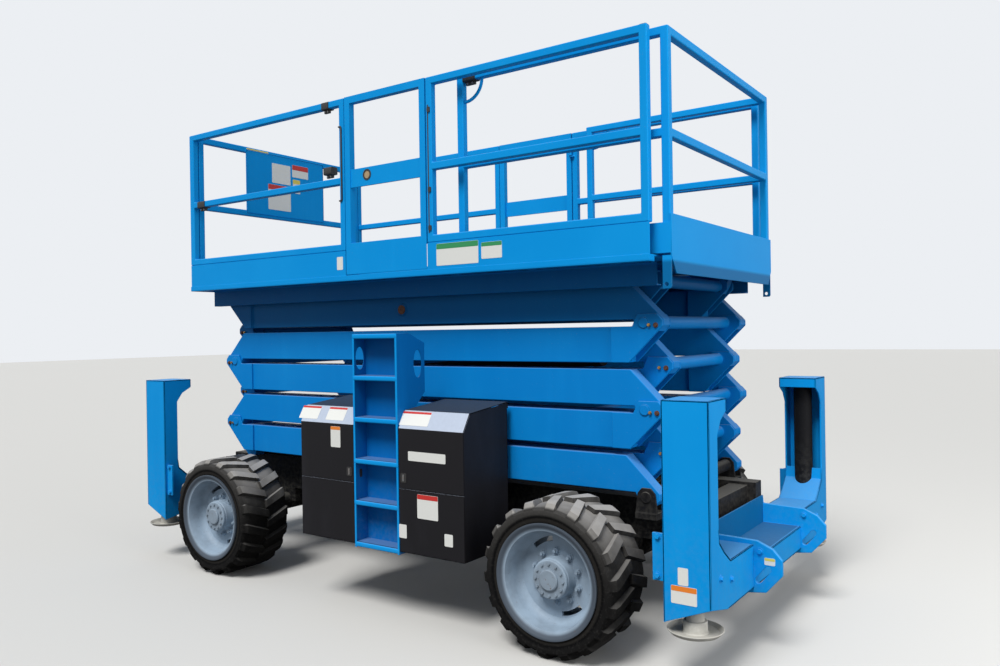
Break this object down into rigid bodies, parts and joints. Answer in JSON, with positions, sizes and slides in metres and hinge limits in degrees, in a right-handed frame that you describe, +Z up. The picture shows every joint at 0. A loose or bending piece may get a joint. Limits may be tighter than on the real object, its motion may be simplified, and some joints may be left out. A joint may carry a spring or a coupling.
{
  "type": "rough-terrain scissor lift",
  "caption": "Blue rough-terrain scissor lift, folded, with sliding deck, guardrails, side ladders, black cabinets and corner outriggers.",
  "frame": {"origin": "on the ground below the middle of the machine", "axes": "+X towards the front, where the wheels steer and the deck extends; -Y is the near side of the picture; +Z up"},
  "size_m": [4.88, 2.312, 3.2799],
  "materials": {
    "blue_paint": "semi-gloss, lightly dusty",
    "black_paint": "satin",
    "grey_paint": "semi-gloss, worn",
    "tyre_rubber": "dusty matte",
    "chrome_rod": "polished",
    "deck_steel": "tread plate, scuffed"
  },
  "bodies": {
    "root": {"chassis_frame": "black_paint", "front_axle": "black_paint", "rear_axle": "black_paint", "front_outrigger_frame": "blue_paint", "rear_outrigger_frame": "blue_paint", "front_jack_tubes": "black_paint", "rear_jack_tubes": "black_paint", "near_ladder": "blue_paint", "far_ladder": "blue_paint", "near_cabinets": "black_paint", "far_cabinets": "black_paint", "engine_block": "black_paint"},
    "outer_1": {"outer_arm_1": "blue_paint"},
    "inner_1": {"inner_arm_1": "blue_paint"},
    "outer_2": {"outer_arm_2": "blue_paint"},
    "inner_2": {"inner_arm_2": "blue_paint"},
    "outer_3": {"outer_arm_3": "blue_paint"},
    "inner_3": {"inner_arm_3": "blue_paint"},
    "outer_4": {"outer_arm_4": "blue_paint"},
    "inner_4": {"inner_arm_4": "blue_paint"},
    "outer_5": {"outer_arm_5": "blue_paint"},
    "inner_5": {"inner_arm_5": "blue_paint"},
    "lower_barrel": {"lower_lift_barrel": "black_paint"},
    "lower_rod": {"lower_lift_rod": "chrome_rod"},
    "upper_barrel": {"upper_lift_barrel": "black_paint"},
    "upper_rod": {"upper_lift_rod": "chrome_rod"},
    "platform": {"main_deck": "deck_steel", "deck_beams": "blue_paint", "near_guardrail": "blue_paint", "far_guardrail": "blue_paint", "rear_guardrail": "blue_paint"},
    "extension": {"extension_deck": "deck_steel", "extension_rail": "blue_paint"},
    "near_gate": {"near_gate": "blue_paint"},
    "knuckle_near": {"knuckle_front_near": "black_paint"},
    "wheel_front_near": {"tyre_front_near": "tyre_rubber", "rim_front_near": "grey_paint"},
    "jack_front_near": {"jack_front_near": "grey_paint"},
    "hood_near_front": {"near_front_hood": "black_paint"},
    "wheel_rear_near": {"tyre_rear_near": "tyre_rubber", "rim_rear_near": "grey_paint"},
    "jack_rear_near": {"jack_rear_near": "grey_paint"},
    "hood_near_rear": {"near_rear_hood": "black_paint"},
    "far_gate": {"far_gate": "blue_paint"},
    "knuckle_far": {"knuckle_front_far": "black_paint"},
    "wheel_front_far": {"tyre_front_far": "tyre_rubber", "rim_front_far": "grey_paint"},
    "jack_front_far": {"jack_front_far": "grey_paint"},
    "hood_far_front": {"far_front_hood": "black_paint"},
    "wheel_rear_far": {"tyre_rear_far": "tyre_rubber", "rim_rear_far": "grey_paint"},
    "jack_rear_far": {"jack_rear_far": "grey_paint"},
    "hood_far_rear": {"far_rear_hood": "black_paint"},
    "tie_rod": {"tie_rod": "black_paint"}
  },
  "joints": [
    {"name": "lift", "type": "hinge", "parent": "root", "child": "outer_1", "pos_m": [1.78, 0, 0.81], "axis": [0, 1, 0], "range_deg": [0, 56]},
    {"name": "centre_pin_1", "type": "hinge", "parent": "outer_1", "child": "inner_1", "pos_m": [0.03, 0, 0.9285], "axis": [0, 1, 0], "range_deg": [-112, 0]},
    {"name": "front_pin_2", "type": "hinge", "parent": "inner_1", "child": "inner_2", "pos_m": [1.78, 0, 1.047], "axis": [0, 1, 0], "range_deg": [0, 112]},
    {"name": "centre_pin_2", "type": "hinge", "parent": "inner_2", "child": "outer_2", "pos_m": [0.03, 0, 1.1655], "axis": [0, 1, 0], "range_deg": [-112, 0]},
    {"name": "front_pin_3", "type": "hinge", "parent": "outer_2", "child": "outer_3", "pos_m": [1.78, 0, 1.284], "axis": [0, 1, 0], "range_deg": [0, 112]},
    {"name": "centre_pin_3", "type": "hinge", "parent": "outer_3", "child": "inner_3", "pos_m": [0.03, 0, 1.4025], "axis": [0, 1, 0], "range_deg": [-112, 0]},
    {"name": "front_pin_4", "type": "hinge", "parent": "inner_3", "child": "inner_4", "pos_m": [1.78, 0, 1.521], "axis": [0, 1, 0], "range_deg": [0, 112]},
    {"name": "centre_pin_4", "type": "hinge", "parent": "inner_4", "child": "outer_4", "pos_m": [0.03, 0, 1.6395], "axis": [0, 1, 0], "range_deg": [-112, 0]},
    {"name": "front_pin_5", "type": "hinge", "parent": "outer_4", "child": "outer_5", "pos_m": [1.78, 0, 1.758], "axis": [0, 1, 0], "range_deg": [0, 112]},
    {"name": "centre_pin_5", "type": "hinge", "parent": "outer_5", "child": "inner_5", "pos_m": [0.03, 0, 1.8765], "axis": [0, 1, 0], "range_deg": [-112, 0]},
    {"name": "deck_pin", "type": "hinge", "parent": "inner_5", "child": "platform", "pos_m": [1.78, 0, 1.995], "axis": [0, 1, 0], "range_deg": [0, 56]},
    {"name": "lower_barrel_pin", "type": "hinge", "parent": "inner_1", "child": "lower_barrel", "pos_m": [-0.62, 0, 0.9085], "axis": [0, 1, 0], "range_deg": [-4.88, 0]},
    {"name": "lower_rod_slide", "type": "slide", "parent": "lower_barrel", "child": "lower_rod", "axis": [0.9946, 0, 0.104], "range_m": [0, 0.67785]},
    {"name": "upper_barrel_pin", "type": "hinge", "parent": "inner_3", "child": "upper_barrel", "pos_m": [-0.62, 0, 1.3825], "axis": [0, 1, 0], "range_deg": [-4.88, 0]},
    {"name": "upper_rod_slide", "type": "slide", "parent": "upper_barrel", "child": "upper_rod", "axis": [0.9946, 0, 0.104], "range_m": [0, 0.67785]},
    {"name": "steer", "type": "hinge", "parent": "root", "child": "knuckle_near", "pos_m": [1.42, -0.81, 0.415], "axis": [0, 0, 1], "range_deg": [-36, 36]},
    {"name": "steer_far", "type": "hinge", "parent": "root", "child": "knuckle_far", "pos_m": [1.42, 0.81, 0.415], "axis": [0, 0, 1], "range_deg": [-36, 36]},
    {"name": "tie_rod_slide", "type": "slide", "parent": "root", "child": "tie_rod", "axis": [0, 1, 0], "range_m": [-0.07651, 0.07651]},
    {"name": "roll_front_near", "type": "hinge", "parent": "knuckle_near", "child": "wheel_front_near", "pos_m": [1.42, -0.952, 0.415], "axis": [0, 1, 0], "continuous": true},
    {"name": "roll_front_far", "type": "hinge", "parent": "knuckle_far", "child": "wheel_front_far", "pos_m": [1.42, 0.952, 0.415], "axis": [0, 1, 0], "continuous": true},
    {"name": "roll_rear_near", "type": "hinge", "parent": "root", "child": "wheel_rear_near", "pos_m": [-1.42, -0.952, 0.415], "axis": [0, 1, 0], "continuous": true},
    {"name": "roll_rear_far", "type": "hinge", "parent": "root", "child": "wheel_rear_far", "pos_m": [-1.42, 0.952, 0.415], "axis": [0, 1, 0], "continuous": true},
    {"name": "extend", "type": "slide", "parent": "platform", "child": "extension", "axis": [1, 0, 0], "range_m": [0, 1.2]},
    {"name": "near_gate_swing", "type": "hinge", "parent": "platform", "child": "near_gate", "pos_m": [0.46, -0.857, 2.7], "axis": [0, 0, -1], "range_deg": [0, 90]},
    {"name": "far_gate_swing", "type": "hinge", "parent": "platform", "child": "far_gate", "pos_m": [0.46, 0.857, 2.7], "axis": [0, 0, 1], "range_deg": [0, 90]},
    {"name": "hood_near_rear_open", "type": "hinge", "parent": "root", "child": "hood_near_rear", "pos_m": [-0.19, -0.7065, 1.289], "axis": [-1, 0, 0], "range_deg": [0, 70]},
    {"name": "hood_near_front_open", "type": "hinge", "parent": "root", "child": "hood_near_front", "pos_m": [0.65, -0.7065, 1.289], "axis": [-1, 0, 0], "range_deg": [0, 70]},
    {"name": "hood_far_rear_open", "type": "hinge", "parent": "root", "child": "hood_far_rear", "pos_m": [-0.19, 0.7065, 1.289], "axis": [1, 0, 0], "range_deg": [0, 70]},
    {"name": "hood_far_front_open", "type": "hinge", "parent": "root", "child": "hood_far_front", "pos_m": [0.65, 0.7065, 1.289], "axis": [1, 0, 0], "range_deg": [0, 70]},
    {"name": "jack_front_near_down", "type": "slide", "parent": "root", "child": "jack_front_near", "axis": [0, 0, -1], "range_m": [0, 0.45]},
    {"name": "jack_front_far_down", "type": "slide", "parent": "root", "child": "jack_front_far", "axis": [0, 0, -1], "range_m": [0, 0.45]},
    {"name": "jack_rear_near_down", "type": "slide", "parent": "root", "child": "jack_rear_near", "axis": [0, 0, -1], "range_m": [0, 0.45]},
    {"name": "jack_rear_far_down", "type": "slide", "parent": "root", "child": "jack_rear_far", "axis": [0, 0, -1], "range_m": [0, 0.45]}
  ],
  "couplings": [
    {"joint": "centre_pin_1", "follows": "lift", "ratio": -2},
    {"joint": "front_pin_2", "follows": "lift", "ratio": 2},
    {"joint": "centre_pin_2", "follows": "lift", "ratio": -2},
    {"joint": "front_pin_3", "follows": "lift", "ratio": 2},
    {"joint": "centre_pin_3", "follows": "lift", "ratio": -2},
    {"joint": "front_pin_4", "follows": "lift", "ratio": 2},
    {"joint": "centre_pin_4", "follows": "lift", "ratio": -2},
    {"joint": "front_pin_5", "follows": "lift", "ratio": 2},
    {"joint": "centre_pin_5", "follows": "lift", "ratio": -2},
    {"joint": "deck_pin", "follows": "lift", "ratio": 1},
    {"joint": "lower_barrel_pin", "follows": "lift", "ratio": -0.087147},
    {"joint": "lower_rod_slide", "follows": "lift", "m_per_rad": 0.69343},
    {"joint": "upper_barrel_pin", "follows": "lift", "ratio": -0.087147},
    {"joint": "upper_rod_slide", "follows": "lift", "m_per_rad": 0.69343},
    {"joint": "steer_far", "follows": "steer", "ratio": 1},
    {"joint": "tie_rod_slide", "follows": "steer", "m_per_rad": -0.12161}
  ]
}
